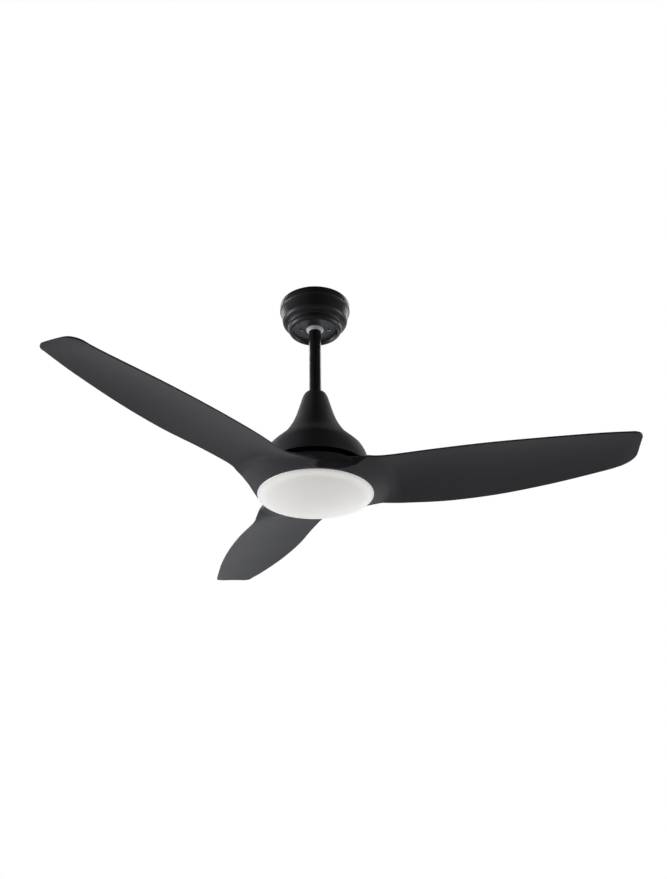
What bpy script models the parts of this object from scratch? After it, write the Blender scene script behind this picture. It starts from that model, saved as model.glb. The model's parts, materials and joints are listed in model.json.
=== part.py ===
"""Ceiling fan with three swept blades and a domed light, hanging below z = 0.

Metres, +Z up. The origin is the middle of the hanger bracket's top face, where
it meets the ceiling, and the fan's axis is Z. At rest the downrod hangs plumb.
"""

import math

import bmesh
import bpy
from mathutils import Matrix, Vector

GAP = 0.0003            # clearance between pieces that touch
ROUND = 24              # sides of the large turned pieces
MEDIUM = 16
SMALL = 8

BLADES = 3
FIRST_BLADE_DEG = -15.53
SPIN_STEP = math.tau / BLADES

# Heights
BALL_Z = -0.051
CANOPY_DISC_Z = -0.065
SEAT_TOP_Z = -0.0592
ROD_TOP_Z = -0.029
ROD_BOTTOM_Z = -0.284
CONE_TOP_Z = -0.2285
SEAM_Z = -0.357
HOUSING_RIM_Z = -0.420
HUB_PLATE_TOP_Z = -0.4335
HUB_PLATE_LOW_Z = -0.4375
PAN_TOP_Z = -0.4455
LED_Z = -0.462
DIFFUSER_RIM_Z = -0.475

# Radii
BALL_R = 0.024
ROD_R = 0.01335
ROD_BORE_R = 0.0110
CANOPY_HOLE_R = 0.0205
SHAFT_R = 0.0100
SHAFT_BORE_R = 0.0065
DIFFUSER_R = 0.120
SEAM_R = 0.0845
CANOPY_SCREW_X = 0.0305
SEAT_R = 0.0230
PIN_R = 0.0030
CLEVIS_Z = -0.270
BALL_PIN_Z = -0.0375

MATERIALS = {
    "black_metal": ((0.012, 0.012, 0.014), 0.32, 0.4),
    "black_plastic": ((0.022, 0.022, 0.025), 0.48, 0.0),
    "blade_plastic": ((0.030, 0.030, 0.034), 0.45, 0.0),
    "opal": ((0.86, 0.86, 0.85), 0.40, 0.0),
    "zinc": ((0.62, 0.64, 0.66), 0.30, 1.0),
    "steel": ((0.50, 0.50, 0.51), 0.35, 1.0),
    "nylon": ((0.82, 0.84, 0.86), 0.42, 0.0),
    "lamination": ((0.20, 0.20, 0.21), 0.50, 0.8),
    "copper": ((0.55, 0.20, 0.08), 0.40, 0.9),
    "ferrite": ((0.04, 0.04, 0.045), 0.65, 0.0),
    "board": ((0.02, 0.14, 0.05), 0.50, 0.0),
    "white_board": ((0.80, 0.80, 0.78), 0.50, 0.0),
    "cable": ((0.55, 0.55, 0.53), 0.55, 0.0),
}


# ---------------------------------------------------------------- tools

def clear_scene():
    for obj in list(bpy.data.objects):
        bpy.data.objects.remove(obj)


def material(name):
    found = bpy.data.materials.get(name)
    if found:
        return found
    color, roughness, metallic = MATERIALS[name]
    made = bpy.data.materials.new(name)
    made.use_nodes = True
    shader = made.node_tree.nodes["Principled BSDF"]
    shader.inputs["Base Color"].default_value = (*color, 1)
    shader.inputs["Roughness"].default_value = roughness
    shader.inputs["Metallic"].default_value = metallic
    made.diffuse_color = (*color, 1)
    return made


def finish_mesh(name, mesh_data, finish, smooth=True):
    bmesh.ops.recalc_face_normals(mesh_data, faces=mesh_data.faces)
    mesh = bpy.data.meshes.new(name)
    mesh_data.to_mesh(mesh)
    mesh_data.free()
    if smooth:
        mesh.shade_smooth()
        mesh.set_sharp_from_angle(angle=math.radians(35))
    obj = bpy.data.objects.new(name, mesh)
    bpy.context.scene.collection.objects.link(obj)
    mesh.materials.append(material(finish))
    return obj


def turned(name, outline, finish, sides=ROUND, closed=True):
    """A piece turned about Z from (radius, height) points. A closed outline is a ring or shell."""
    shape = bmesh.new()
    points = [shape.verts.new((max(r, 0.0), 0, z)) for r, z in outline]
    ends = points[1:] + points[:1] if closed else points[1:]
    edges = [shape.edges.new(pair) for pair in zip(points, ends)]
    bmesh.ops.spin(
        shape, geom=points + edges, axis=(0, 0, 1), cent=(0, 0, 0), steps=sides, angle=math.tau
    )
    bmesh.ops.remove_doubles(shape, verts=shape.verts, dist=1e-6)
    return finish_mesh(name, shape, finish)


def block(name, low, high, finish):
    shape = bmesh.new()
    bmesh.ops.create_cube(shape, size=1)
    low, high = Vector(low), Vector(high)
    for vert in shape.verts:
        vert.co = (low + high) / 2 + Vector(a * b for a, b in zip(vert.co, high - low))
    return finish_mesh(name, shape, finish, smooth=False)


def rod_between(name, start, end, radius, finish, sides=SMALL):
    """A round bar from start to end."""
    start, end = Vector(start), Vector(end)
    shape = bmesh.new()
    bmesh.ops.create_cone(
        shape, cap_ends=True, segments=sides, radius1=radius, radius2=radius,
        depth=(end - start).length,
    )
    turn = Vector((0, 0, 1)).rotation_difference(end - start).to_matrix().to_4x4()
    bmesh.ops.transform(
        shape, matrix=Matrix.Translation((start + end) / 2) @ turn, verts=shape.verts
    )
    return finish_mesh(name, shape, finish)


def prism(name, outline, low, high, finish):
    """A flat outline of (x, y) points, extruded from height low to high."""
    shape = bmesh.new()
    face = shape.faces.new([shape.verts.new((x, y, low)) for x, y in outline])
    grown = bmesh.ops.extrude_face_region(shape, geom=[face])["geom"]
    moved = [item for item in grown if isinstance(item, bmesh.types.BMVert)]
    bmesh.ops.translate(shape, vec=(0, 0, high - low), verts=moved)
    bmesh.ops.triangulate(shape, faces=[f for f in shape.faces if len(f.verts) > 4])
    return finish_mesh(name, shape, finish, smooth=False)


def combine(obj, other, operation):
    """Cuts other from obj, or joins it on, and keeps other only as a guide."""
    change = obj.modifiers.new(operation.lower(), "BOOLEAN")
    change.operation = operation
    change.object = other
    change.solver = "EXACT"
    other.hide_render = True
    other.display_type = "WIRE"


def cut(obj, other):
    combine(obj, other, "DIFFERENCE")


def join(obj, other):
    combine(obj, other, "UNION")


def arc(centre, radii, start_deg, end_deg, count):
    """Points on an ellipse quarter or arc in the (radius, height) plane."""
    points = []
    for i in range(count + 1):
        angle = math.radians(start_deg + (end_deg - start_deg) * i / count)
        x = centre[0] + radii[0] * math.cos(angle)
        points.append((x, centre[1] + radii[1] * math.sin(angle)))
    return points


def smooth_curve(points, parts):
    """A Catmull-Rom curve through points, with the given number of steps in each span."""
    knots = [Vector(p) for p in points]
    knots = [2 * knots[0] - knots[1], *knots, 2 * knots[-1] - knots[-2]]
    curve = []
    for i in range(1, len(knots) - 2):
        a, b, c, d = knots[i - 1 : i + 3]
        for k in range(parts):
            t = k / parts
            curve.append(
                0.5 * (2 * b + (c - a) * t + (2 * a - 5 * b + 4 * c - d) * t * t
                       + (3 * b - a - 3 * c + d) * t ** 3)
            )
    curve.append(knots[-2])
    return curve


def inset_profile(outline, thickness):
    """The inner side of a thin wall: each point moves square to the outline."""
    points = [Vector(p) for p in outline]
    inner = []
    for i, point in enumerate(points):
        ahead = points[min(i + 1, len(points) - 1)] - points[max(i - 1, 0)]
        side = Vector((ahead.y, -ahead.x)).normalized()
        inner.append(point + side * thickness)
    return inner


def polar(radius, angle):
    return radius * math.cos(angle), radius * math.sin(angle)


# ---------------------------------------------------------------- ceiling end

def hanger_bracket():
    """A folded strap: ceiling plate, two legs and a seat plate with a hole for the ball."""
    half_depth = 0.029
    sheet = 0.0022
    leg_x = 0.046
    flange_x = 0.060
    low = SEAT_TOP_Z - 0.002
    outside = [(flange_x, 0), (flange_x, -sheet), (leg_x, -sheet), (leg_x, low)]
    mirrored = [(-x, z) for x, z in reversed(outside)]
    frame = prism("hanger_bracket", outside + mirrored, -half_depth, half_depth, "zinc")
    frame.data.transform(Matrix.Rotation(math.pi / 2, 4, "X"))
    inner_x = leg_x - sheet
    cut(frame, block("bracket_window", (-inner_x, -0.04, SEAT_TOP_Z), (inner_x, 0.04, -sheet), "zinc"))
    cut(frame, rod_between("seat_hole", (0, 0, -0.07), (0, 0, -0.05), SEAT_R, "zinc", MEDIUM))
    mouth = ROD_R + 0.0012
    cut(frame, block("seat_mouth", (-mouth, -0.04, -0.07), (mouth, 0, -0.05), "zinc"))
    for side in (-1, 1):
        x = side * CANOPY_SCREW_X
        cut(frame, rod_between(f"tapped_hole_{side}", (x, 0, -0.07), (x, 0, -0.05), 0.0020, "zinc"))
        x = side * 0.053
        cut(frame, rod_between(f"ceiling_hole_{side}", (x, 0, -0.01), (x, 0, 0.01), 0.0026, "zinc"))
    cut(frame, rod_between("wire_hole", (0, 0.018, -0.01), (0, 0.018, 0.01), 0.0065, "zinc"))
    cut(frame, rod_between("key_hole", (-0.06, 0, BALL_Z), (-0.04, 0, BALL_Z), 0.0043, "zinc"))


def canopy():
    """The stepped cup: two bands with a bead, two rolls with a bead between, a recessed disc."""
    wall = 0.0010
    outer = [(0.0788, -0.0004), (0.0788, -0.0140), (0.0791, -0.0160), (0.0775, -0.0180)]
    outer += [(0.0753, -0.0280), (0.0739, -0.0370)]
    outer += arc((0.0623, -0.0400), (0.0108, 0.0118), -6, -68, 3)
    outer += [(0.0644, -0.0527), (0.0634, -0.0538), (0.0613, -0.0560)]
    outer += arc((0.0514, -0.0610), (0.0084, 0.0100), -8, -90, 3)
    outer += [(0.0499, -0.0690), (0.0484, CANOPY_DISC_Z), (CANOPY_HOLE_R, CANOPY_DISC_Z)]
    inner = [(0.0776, -0.0004), (0.0776, -0.0160), (0.0729, -0.0370)]
    inner += arc((0.0613, -0.0390), (0.0106, 0.0118), -6, -68, 2)
    inner += [(0.0617, -0.0520)]
    inner += arc((0.0504, -0.0600), (0.0084, 0.0100), -8, -90, 2)
    inner += [(0.0488, -0.0670), (0.0474, CANOPY_DISC_Z + wall)]
    inner += [(CANOPY_HOLE_R, CANOPY_DISC_Z + wall)]
    cup = turned("canopy", outer + inner[::-1], "black_metal")
    for side in (-1, 1):
        x = side * CANOPY_SCREW_X
        cut(cup, rod_between(f"canopy_hole_{side}", (x, 0, -0.08), (x, 0, -0.06), 0.0021, "zinc", 7))


def pan_head_screw(name, foot, direction, head_r, shank_r, length, head_h=0.0024):
    """A domed screw whose head stands on foot and whose shank runs along direction."""
    outline = [(0, -head_h), (head_r * 0.7, -head_h * 0.92), (head_r, -head_h * 0.45), (head_r, 0)]
    outline += [(shank_r, 0), (shank_r, length - shank_r * 0.4), (0, length)]
    screw = turned(name, outline, "steel", SMALL, closed=False)
    turn = Vector((0, 0, 1)).rotation_difference(Vector(direction)).to_matrix().to_4x4()
    screw.data.transform(Matrix.Translation(foot) @ turn)
    return screw


def canopy_screws():
    for number, side in enumerate((-1, 1), start=1):
        foot = (side * CANOPY_SCREW_X, 0, CANOPY_DISC_Z - GAP)
        pan_head_screw(f"canopy_screw_{number}", foot, (0, 0, 1), 0.0034, 0.0017, 0.0085)


def terminal_block():
    block("terminal_block", (-0.015, -0.008, -0.0150), (0.015, 0.008, -0.0025), "nylon")


def registration_key():
    """A stud that swivels in the bracket's leg, with a flat tab in the ball's groove."""
    key = rod_between("registration_key", (-0.0435, 0, BALL_Z), (-0.0490, 0, BALL_Z), 0.0040, "zinc")
    head = rod_between("key_head", (-0.0463, 0, BALL_Z), (-0.0490, 0, BALL_Z), 0.0065, "zinc")
    tab = block(
        "key_tab", (-0.0437, -0.0019, BALL_Z - 0.0035), (-0.0200, 0.0019, BALL_Z + 0.0035), "zinc"
    )
    join(key, head)
    join(key, tab)


# ---------------------------------------------------------------- hanging pieces

def hanger_ball():
    """The ball on the rod's top: bored for the rod, slotted for its pin, grooved for the key."""
    bore = ROD_R + GAP
    top_deg = 47
    bottom_deg = -math.degrees(math.asin(0.0197 / BALL_R))
    outer = arc((0, BALL_Z), (BALL_R, BALL_R), top_deg, bottom_deg, 9)
    outline = [(bore, outer[0][1]), *outer, (bore, outer[-1][1])]
    ball = turned("hanger_ball", outline, "nylon", MEDIUM)
    slot = PIN_R + GAP
    cut(ball, block("pin_slot", (-slot, -0.03, BALL_PIN_Z - slot), (slot, 0.03, -0.02), "nylon"))
    cut(ball, block("key_groove", (-0.03, -0.0024, -0.09), (-0.0185, 0.0024, -0.02), "nylon"))


def downrod():
    tube = [(ROD_R, ROD_TOP_Z), (ROD_R, ROD_BOTTOM_Z), (ROD_BORE_R, ROD_BOTTOM_Z)]
    rod = turned("downrod", tube + [(ROD_BORE_R, ROD_TOP_Z)], "black_metal", MEDIUM)
    hole = PIN_R + GAP
    cut(rod, rod_between("pin_hole", (0, -0.03, BALL_PIN_Z), (0, 0.03, BALL_PIN_Z), hole, "zinc"))
    cut(rod, rod_between("rod_clevis_hole", (-0.03, 0, CLEVIS_Z), (0.03, 0, CLEVIS_Z), hole, "zinc"))
    rod_between("ball_pin", (0, -0.0185, BALL_PIN_Z), (0, 0.0185, BALL_PIN_Z), PIN_R, "steel")


def yoke():
    """The coupling between downrod and motor shaft, with its pin, clip and set screws."""
    cup = ROD_R + GAP
    bore = SHAFT_R + GAP
    outline = [(0.0190, -0.254), (0.0190, -0.290), (0.0240, -0.294), (0.0240, -0.322)]
    outline += [(bore, -0.322), (bore, -0.2935), (0.0108, -0.2935)]
    outline += [(0.0108, ROD_BOTTOM_Z - GAP), (cup, ROD_BOTTOM_Z - GAP), (cup, -0.254)]
    body = turned("yoke", outline, "steel", MEDIUM)
    hole = PIN_R + GAP
    cut(body, rod_between("clevis_hole", (-0.03, 0, CLEVIS_Z), (0.03, 0, CLEVIS_Z), hole, "zinc"))
    pin = rod_between("clevis_pin", (-0.0215, 0, CLEVIS_Z), (0.0260, 0, CLEVIS_Z), PIN_R, "steel")
    head = rod_between("clevis_head", (-0.0238, 0, CLEVIS_Z), (-0.0210, 0, CLEVIS_Z), 0.0048, "steel")
    join(pin, head)
    clip_x = 0.0222
    clip = rod_between("clip", (clip_x, 0, CLEVIS_Z), (clip_x + 0.0016, 0, CLEVIS_Z), 0.0062, "steel")
    clip.name = "retaining_clip"
    cut(clip, rod_between("clip_bore", (0.02, 0, CLEVIS_Z), (0.03, 0, CLEVIS_Z), hole, "steel"))
    mouth = (clip_x - 0.001, -0.0022, CLEVIS_Z - 0.01)
    cut(clip, block("clip_mouth", mouth, (clip_x + 0.003, 0.0022, CLEVIS_Z), "steel"))
    for number, side in enumerate((-1, 1), start=1):
        z = -0.310
        near, far = (0, side * (bore + 0.0006), z), (0, side * 0.0262, z)
        cut(body, rod_between(f"set_hole_{number}", (0, 0, z), (0, side * 0.03, z), 0.0033, "steel"))
        rod_between(f"set_screw_{number}", near, far, 0.0030, "steel", 6)


# The outsides of the cover and of the housing below it: radius, height.
CONE_PROFILE = [
    (0.0240, -0.2322), (0.0280, -0.2415), (0.0320, -0.2583), (0.0369, -0.2751),
    (0.0422, -0.2919), (0.0491, -0.3086), (0.0583, -0.3254), (0.0685, -0.3402),
    (0.0795, -0.3515), (SEAM_R - 0.0004, SEAM_Z + 0.0007),
]
HOUSING_PROFILE = [
    (SEAM_R + 0.0003, SEAM_Z), (0.0925, -0.3646), (0.1008, -0.3743), (0.1066, -0.3857),
    (0.1104, -0.3971), (0.1128, -0.4086), (0.1135, HOUSING_RIM_Z),
]


def coupling_cover():
    """The trumpet-shaped cover over the yoke."""
    wall = 0.0018
    outer = [Vector(p) for p in CONE_PROFILE]
    inner = inset_profile(outer, wall)
    inner[0] = Vector((0.0218, CONE_TOP_Z - wall))
    inner[-1] = Vector((outer[-1].x - 1.5 * wall, outer[-1].y))
    rim = [(ROD_R + 0.0006, CONE_TOP_Z), (0.0190, CONE_TOP_Z), (0.0222, CONE_TOP_Z - 0.0010)]
    outline = rim + outer + inner[::-1] + [(ROD_R + 0.0006, CONE_TOP_Z - wall)]
    turned("coupling_cover", outline, "black_plastic")


def motor_housing():
    """The bell over the motor, with a dished top under the cover."""
    wall = 0.0016
    outer = [Vector(p) for p in HOUSING_PROFILE]
    inner = inset_profile(outer, wall)
    dish = [(0.0265, -0.3435), (0.0560, -0.3435), (0.0780, -0.3570)]
    under = [(r, z - wall) for r, z in dish]
    bell = turned("motor_housing", dish + outer + inner[::-1] + under[::-1], "black_plastic")
    for number in range(3):
        x, y = polar(0.034, number * SPIN_STEP)
        name = f"housing_screw_{number + 1}"
        hole = rod_between(name + "_hole", (x, y, -0.352), (x, y, -0.332), 0.0020, "steel")
        cut(bell, hole)
        pan_head_screw(name, (x, y, -0.3435 + GAP), (0, 0, -1), 0.0034, 0.0017, 0.0048)
    plate = [(0.0180, -0.364), (SHAFT_R + GAP, -0.364), (SHAFT_R + GAP, -0.3454), (0.044, -0.3454)]
    plate += [(0.044, -0.3494), (0.0180, -0.3494)]
    top = turned("motor_top_plate", plate, "steel", MEDIUM)
    for number in range(3):
        x, y = polar(0.034, number * SPIN_STEP)
        cut(top, rod_between(f"plate_hole_{number}", (x, y, -0.352), (x, y, -0.342), 0.0020, "steel"))


def shaft_and_stator():
    shaft = [(SHAFT_R, -0.296), (SHAFT_R, -0.458), (SHAFT_BORE_R, -0.458), (SHAFT_BORE_R, -0.296)]
    turned("motor_shaft", shaft, "steel", MEDIUM)
    teeth = 12
    outline = []
    for tooth in range(teeth):
        for radius, share in ((0.044, -0.5), (0.044, -0.22), (0.067, -0.16), (0.0675, -0.36)):
            outline.append(polar(radius, (tooth + share) * math.tau / teeth))
        for share in (-0.36, -0.12, 0.12, 0.36):
            outline.append(polar(0.0733, (tooth + share) * math.tau / teeth))
        for radius, share in ((0.0675, 0.36), (0.067, 0.16), (0.044, 0.22)):
            outline.append(polar(radius, (tooth + share) * math.tau / teeth))
    core = prism("stator_core", outline, -0.414, -0.392, "lamination")
    bore = rod_between("core_bore", (0, 0, -0.422), (0, 0, -0.382), SHAFT_R + GAP, "steel", MEDIUM)
    cut(core, bore)
    for name, low, high in (("winding_upper", -0.3917, -0.3835), ("winding_lower", -0.4225, -0.4143)):
        middle = (low + high) / 2
        ring = arc((0.056, middle), (0.0095, (high - low) / 2), 0, 315, 7)
        turned(name, ring[::-1], "copper", MEDIUM)


def bearing(place, low, high):
    """Two races, one on the shaft and one that turns with the rotor."""
    inner = [(SHAFT_R + GAP, low), (0.0135, low), (0.0135, high), (SHAFT_R + GAP, high)]
    outer = [(0.0160, low), (0.0190, low), (0.0190, high), (0.0160, high)]
    turned(f"bearing_inner_{place}", inner, "steel", MEDIUM)
    turned(f"bearing_outer_{place}", outer, "steel", MEDIUM)


def control_board():
    ring = [(0.0400, -0.3432), (0.0540, -0.3432), (0.0540, -0.3416), (0.0400, -0.3416)]
    turned("control_board", ring, "board", MEDIUM)
    block("motor_capacitor", (0.0400, -0.010, -0.3413), (0.0530, 0.010, -0.3320), "cable")


def supply_cable():
    """The cable's stretch inside the downrod, clear of both pins, with a connector on top."""
    side = 0.0058
    rod_between("supply_cable", (side, side, -0.0277), (side, side, -0.292), 0.0024, "cable", 10)
    block("cable_connector", (0, 0.001, -0.0274), (0.012, 0.010, -0.0205), "nylon")


# ---------------------------------------------------------------- rotor and blades

def rotor():
    """The outrunner's two shells and the magnets inside them."""
    seat = 0.0190 + GAP
    upper = [(seat, -0.3820), (0.0225, -0.3820), (0.0225, -0.3780), (0.0785, -0.3780)]
    upper += [(0.0785, -0.4020), (0.0815, -0.4020), (0.0815, -0.3770), (0.0795, -0.3750)]
    upper += [(0.0240, -0.3750), (0.0225, -0.3710), (seat, -0.3710)]
    turned("rotor_upper_shell", upper, "black_metal")
    lower = [(seat, -0.4420), (0.0225, -0.4420), (0.0225, -0.4332), (0.1040, -0.4332)]
    lower += [(0.1040, -0.4302), (0.0815, -0.4302), (0.0815, -0.4023), (0.0785, -0.4023)]
    lower += [(0.0785, -0.4302), (0.0225, -0.4302), (seat, -0.4302)]
    shell = turned("rotor_lower_shell", lower, "black_metal")
    for angle in blade_screw_angles():
        x, y = polar(BLADE_SCREW_R, angle)
        cut(shell, rod_between("tapped", (x, y, -0.437), (x, y, -0.427), 0.0023, "steel", 8))
    magnets = [(0.0745, -0.389), (0.0745, -0.417), (0.0782, -0.417), (0.0782, -0.389)]
    turned("magnet_ring", magnets, "ferrite")
    bearing("upper", -0.3810, -0.3720)
    bearing("lower", -0.4410, -0.4320)


BLADE_SCREW_R = 0.090
SCREW_SPREAD_DEG = (-62, 12)
SEAM_A_DEG = 37.47               # each hub sector's two seams, measured from its blade's axis
SEAM_B_DEG = SEAM_A_DEG - 360 / BLADES
SEAM_TRIM_DEG = 0.12
SEAM_END = (0.137, -0.458)        # radius and height where each seam meets the outline
LIP_R = 0.1215                   # the hub's edge between two blades, hidden by the light
LIP_LOW_Z = -0.4725
LIP_HIGH_Z = -0.4580

# The hub's under side, from the bolted plate out to the lip round the light: radius, height.
HUB_UNDER = [
    (0.0600, HUB_PLATE_LOW_Z), (0.1030, HUB_PLATE_LOW_Z), (0.1085, -0.4390),
    (0.1115, -0.4450), (0.1150, -0.4600), (0.1175, -0.4700), (0.1195, -0.4722),
]
# Its upper side as far as the top of the wall, which rises and falls three times round.
HUB_UPPER = [
    (0.0600, HUB_PLATE_TOP_Z), (0.1045, HUB_PLATE_TOP_Z), (0.1085, HUB_PLATE_TOP_Z),
    (0.1140, -0.4310),
]
WALL_SHARES = (0.25, 0.5, 0.7)   # rows between the wall's top and the outer edge
WAVE = 0.0065
WAVE_TURN_DEG = 5
BETWEEN_SHARES = (0.5,)
# Edge A, the higher one, and edge B, the lower one with the belly: span, offset, height.
EDGE_A = [
    (0.1300, 0.0829, -0.4440), (0.1500, 0.0742, -0.4432), (0.1800, 0.0646, -0.4396),
    (0.2600, 0.0570, -0.4356), (0.3600, 0.0493, -0.4332), (0.4700, 0.0320, -0.4291),
    (0.5800, 0.0081, -0.4233), (0.6450, -0.0104, -0.4198),
]
EDGE_B = [
    (0.1200, -0.0941, -0.4650), (0.1500, -0.0946, -0.4690), (0.1800, -0.0954, -0.4717),
    (0.2600, -0.1103, -0.4709), (0.3600, -0.1186, -0.4663), (0.4700, -0.1179, -0.4575),
    (0.5800, -0.1098, -0.4465), (0.6150, -0.1063, -0.4415),
]
TIP_CORNER_A = (0.6628, -0.0159)
TIP_CORNER_B = (0.6447, -0.1023)
TIP_ROUND_A = 0.017
TIP_ROUND_B = 0.033
CAMBER = 0.009                   # how far the blade's middle stands above its edges
TIP_CAMBER = 0.0036
EDGE_THICKNESS = 0.0034
MIDDLE_THICKNESS = 0.0070
BLADE_COLUMNS = 9
RING_COLUMNS = 4
SPAN_ROWS = 13


def blade_screw_angles():
    first = math.radians(FIRST_BLADE_DEG)
    return [
        first + blade * SPIN_STEP - math.radians(offset)
        for blade in range(BLADES)
        for offset in SCREW_SPREAD_DEG
    ]


def along(curve, share):
    """The point a share of the way along a list of points, by index."""
    place = share * (len(curve) - 1)
    i = min(int(place), len(curve) - 2)
    return curve[i].lerp(curve[i + 1], place - i)


def even(curve, count):
    """count + 1 points spaced evenly along a polyline."""
    lengths = [0.0]
    for a, b in zip(curve, curve[1:]):
        lengths.append(lengths[-1] + (b - a).length)
    points = []
    for k in range(count + 1):
        want = lengths[-1] * k / count
        i = max(j for j in range(len(lengths) - 1) if lengths[j] <= want + 1e-12)
        points.append(curve[i].lerp(curve[i + 1], (want - lengths[i]) / (lengths[i + 1] - lengths[i])))
    return points


def rounded_corner(before, corner, after, radius, count):
    """The arc that rounds a corner of the outline."""
    before, corner, after = Vector(before), Vector(corner), Vector(after)
    back, ahead = (before - corner).normalized(), (after - corner).normalized()
    half = back.angle(ahead) / 2
    centre = corner + (back + ahead).normalized() * (radius / math.sin(half))
    start = corner + back * (radius / math.tan(half)) - centre
    end = corner + ahead * (radius / math.tan(half)) - centre
    turns = [start.lerp(end, k / count).normalized() for k in range(count + 1)]
    return [centre + turn * radius for turn in turns]


def tip_curve(end_a, end_b, columns):
    """The tip's edge from edge A to edge B, with its two rounded corners."""
    flat_a, flat_b = Vector(end_a[:2]), Vector(end_b[:2])
    line = [flat_a]
    line += rounded_corner(flat_a, TIP_CORNER_A, TIP_CORNER_B, TIP_ROUND_A, 5)
    line += rounded_corner(TIP_CORNER_A, TIP_CORNER_B, flat_b, TIP_ROUND_B, 7)
    line += [flat_b]
    points = []
    for k, point in enumerate(even(line, columns)):
        s = k / columns
        height = end_a[2] + (end_b[2] - end_a[2]) * s + TIP_CAMBER * 4 * s * (1 - s)
        points.append(Vector((point.x, point.y, height)))
    return points


def blade_rows():
    """Rows of the middle surface from the ring's outer arc to the tip, each from edge A to edge B."""
    columns = BLADE_COLUMNS
    edge_a, edge_b = smooth_curve(EDGE_A, 6), smooth_curve(EDGE_B, 6)
    rows = []
    for k in range(SPAN_ROWS):
        share = (k / SPAN_ROWS) ** 1.15
        a, b = along(edge_a, share), along(edge_b, share)
        bulge = 0.026 * max(0.0, 1 - share / 0.35) ** 2
        camber = CAMBER * min(1, share * 4)
        camber += (TIP_CAMBER - camber) * max(0, share / 0.3 - 7 / 3)
        row = []
        for j in range(columns + 1):
            s = j / columns
            hump = 4 * s * (1 - s)
            row.append(a.lerp(b, s) + Vector((bulge * hump, 0, camber * hump)))
        rows.append(row)
    rows.append(tip_curve(edge_a[-1], edge_b[-1], columns))
    last, tip = rows[-2], rows[-1]
    rows.insert(-1, [p.lerp(q, 0.55) for p, q in zip(last, tip)])
    return rows


def thickness_at(s):
    return EDGE_THICKNESS + (MIDDLE_THICKNESS - EDGE_THICKNESS) * (4 * s * (1 - s)) ** 0.8


def ring_edge(side):
    """The hub's outer edge beside the blade, from the foot of edge B to seam B: the lip
    round the light, which flares out again to meet edge A of the next blade."""
    foot, seam = Vector(EDGE_B[0]), Vector(SEAM_END)
    start = math.atan2(foot.y, foot.x)
    end = math.radians(SEAM_B_DEG + SEAM_TRIM_DEG)
    lip_z = LIP_LOW_Z if side < 0 else LIP_HIGH_Z
    points = []
    for k in range(RING_COLUMNS + 1):
        share = k / RING_COLUMNS
        foot_part = max(0.0, 1 - share * 8) ** 2
        seam_part = max(0.0, (share - 0.55) / 0.45) ** 2
        radius = LIP_R + (foot.xy.length - LIP_R) * foot_part + (seam.x - LIP_R) * seam_part
        edge = side * EDGE_THICKNESS
        height = lip_z + (foot.z + edge - lip_z) * foot_part + (seam.y + edge - lip_z) * seam_part
        points.append(Vector((*polar(radius, start + (end - start) * share), height)))
    return points


def hub_angles():
    foot = Vector(EDGE_B[0])
    first = math.radians(SEAM_A_DEG - SEAM_TRIM_DEG)
    turn = math.atan2(foot.y, foot.x)
    last = math.radians(SEAM_B_DEG + SEAM_TRIM_DEG)
    angles = [first + (turn - first) * k / BLADE_COLUMNS for k in range(BLADE_COLUMNS)]
    return angles + [turn + (last - turn) * k / RING_COLUMNS for k in range(RING_COLUMNS + 1)]


def hub_row(radius, height, wave=0.0):
    """One row of the hub's section: an arc from seam A to seam B."""
    row = []
    for angle in hub_angles():
        lift = wave * math.cos(BLADES * (angle - math.radians(WAVE_TURN_DEG)))
        row.append(Vector((*polar(radius, angle), height + lift)))
    return row


def root_rows(side, outer):
    """The hub's rows on one side, from the plate to just short of the outer edge."""
    corner = hub_row(SEAM_END[0], SEAM_END[1] + side * EDGE_THICKNESS)[0]
    target = [corner] + outer[1:]
    if side < 0:
        rows = [hub_row(radius, height) for radius, height in HUB_UNDER]
    else:
        rows = [hub_row(radius, height) for radius, height in HUB_UPPER[:-1]]
        top = hub_row(*HUB_UPPER[-1], WAVE)
        rows.append(top)
        for share in WALL_SHARES:
            rows.append([p.lerp(q, share) for p, q in zip(top, target)])
    last = rows[-1]
    for share in BETWEEN_SHARES:
        row = [p.lerp(q, share) for p, q in zip(last, target)]
        rows.append(row)
    rows[-1][0] = corner
    return rows


def blade_mesh():
    """A third of the hub and its blade as one closed shell, with the blade along +X."""
    shape = bmesh.new()
    layers = []
    rows = blade_rows()
    for side in (-0.5, 0.5):
        outer = [p + Vector((0, 0, side * EDGE_THICKNESS)) for p in rows[0]]
        outer += ring_edge(side)[1:]
        grid = root_rows(side, outer) + [outer]
        for row in rows[1:]:
            lifted = []
            for j, point in enumerate(row):
                s = j / BLADE_COLUMNS
                thick = EDGE_THICKNESS if row is rows[-1] else thickness_at(s)
                lifted.append(point + Vector((0, 0, side * thick)))
            grid.append(lifted)
        layers.append([[shape.verts.new(p) for p in row] for row in grid])
    wide = len(HUB_UNDER) + len(BETWEEN_SHARES) + 1
    for layer in layers:
        for row, after in zip(layer, layer[1:]):
            for j in range(min(len(row), len(after)) - 1):
                shape.faces.new((row[j], row[j + 1], after[j + 1], after[j]))
    low, high = layers

    def edge_loop(layer):
        loop = [row[0] for row in layer]
        loop += layer[-1][1:]
        loop += [row[-1] for row in layer[-2 : wide - 1 : -1]]
        loop += layer[wide - 1][BLADE_COLUMNS:]
        loop += [row[-1] for row in layer[wide - 2 :: -1]]
        loop += layer[0][-2:0:-1]
        return loop

    rim = list(zip(edge_loop(low), edge_loop(high)))
    for (a, b), (c, d) in zip(rim, rim[1:] + rim[:1]):
        shape.faces.new((a, b, d, c))
    bmesh.ops.triangulate(shape, faces=shape.faces)
    return shape


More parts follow.
